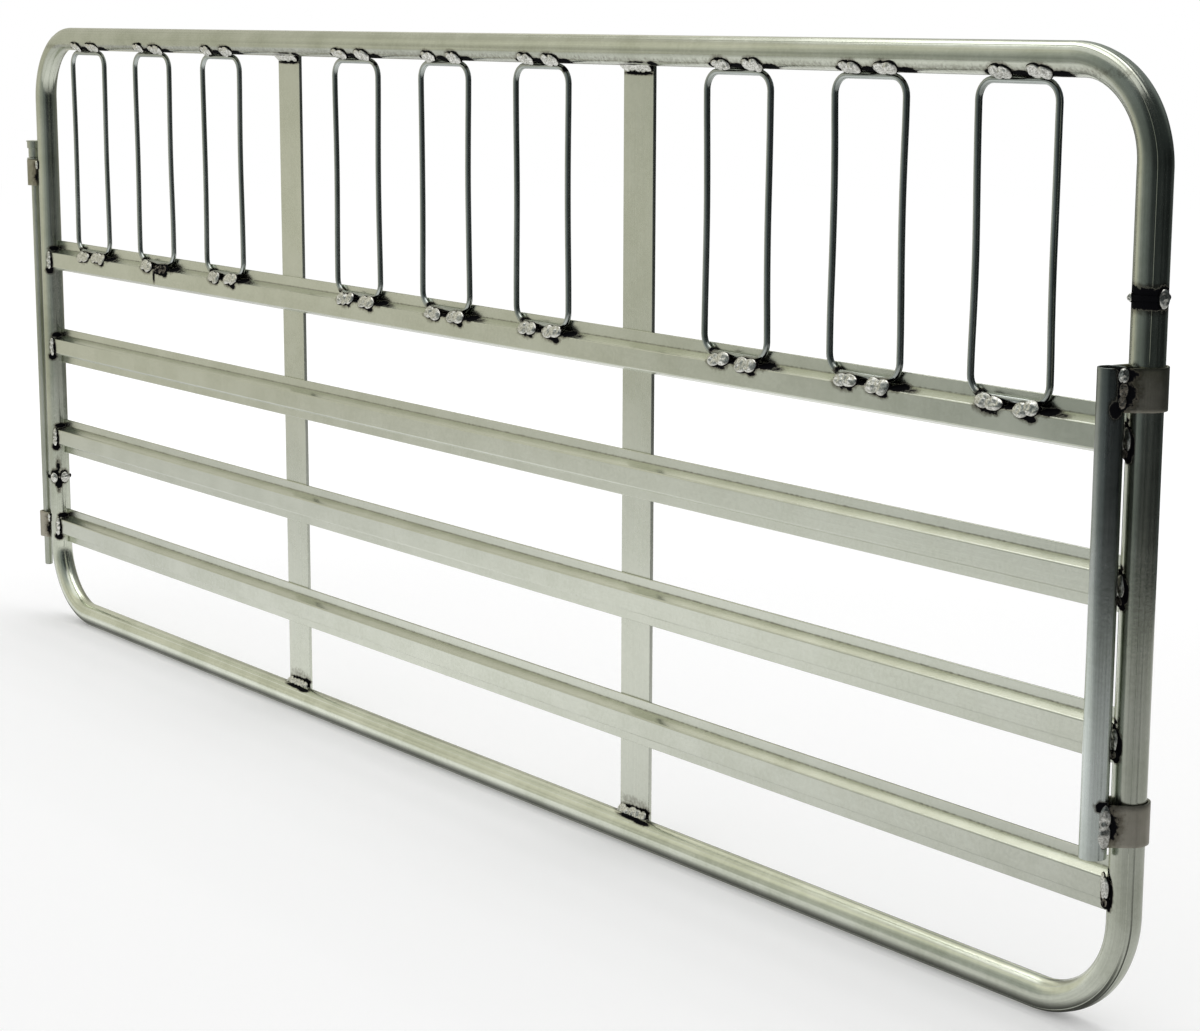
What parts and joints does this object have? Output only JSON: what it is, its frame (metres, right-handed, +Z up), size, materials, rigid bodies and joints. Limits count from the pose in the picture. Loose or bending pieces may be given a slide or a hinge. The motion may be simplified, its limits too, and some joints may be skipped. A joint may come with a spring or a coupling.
{
  "type": "livestock gate",
  "caption": "Tubular aluminium farm gate with boxed rails, a row of upright neck loops, flat stays, a loose hinge rod at one end and a swinging sleeve at the other",
  "frame": {"origin": "middle of the gate's length, in the middle plane of the tube frame, on the lowest line of the bottom tube", "axes": "+X along the gate towards the end with the swinging sleeve, +Y towards the back where the stays are, +Z up"},
  "size_m": [3.0887, 0.0864, 1.245],
  "materials": {
    "frame_tube_aluminium": "mill finish, faintly streaked",
    "weld_aluminium": "bright rippled weld metal",
    "rail_aluminium": "mill finish extrusion, satin",
    "stay_aluminium": "mill finish flat bar, satin",
    "loop_rod_aluminium": "mill finish rod",
    "sleeve_aluminium": "mill finish pipe",
    "strap_aluminium": "mill finish strap, dull",
    "hinge_rod_aluminium": "mill finish rod, rubbed"
  },
  "bodies": {
    "frame": {"frame_tube_upper": "frame_tube_aluminium", "frame_tube_lower": "frame_tube_aluminium", "seam_weld_right": "weld_aluminium", "seam_weld_left": "weld_aluminium", "rail_1": "rail_aluminium", "rail_2": "rail_aluminium", "rail_3": "rail_aluminium", "rail_4": "rail_aluminium", "stay_left": "stay_aluminium", "stay_right": "stay_aluminium", "neck_loop_1": "loop_rod_aluminium", "neck_loop_2": "loop_rod_aluminium", "neck_loop_3": "loop_rod_aluminium", "neck_loop_4": "loop_rod_aluminium", "neck_loop_5": "loop_rod_aluminium", "neck_loop_6": "loop_rod_aluminium", "neck_loop_7": "loop_rod_aluminium", "neck_loop_8": "loop_rod_aluminium", "neck_loop_9": "loop_rod_aluminium", "strap_loop_upper": "strap_aluminium", "strap_loop_lower": "strap_aluminium"},
    "sleeve": {"sleeve_pipe": "sleeve_aluminium", "collar_upper": "strap_aluminium", "collar_lower": "strap_aluminium"},
    "rod": {"hinge_rod": "hinge_rod_aluminium", "rod_seat_ring": "hinge_rod_aluminium"}
  },
  "joints": [
    {"name": "sleeve_swing", "type": "hinge", "parent": "frame", "child": "sleeve", "pos_m": [1.5043, 0, 0.24451], "axis": [0, 0, 1], "range_deg": [-22, 257]},
    {"name": "rod_lift", "type": "slide", "parent": "frame", "child": "rod", "axis": [0, 0, 1], "range_m": [0, 0.8]}
  ]
}
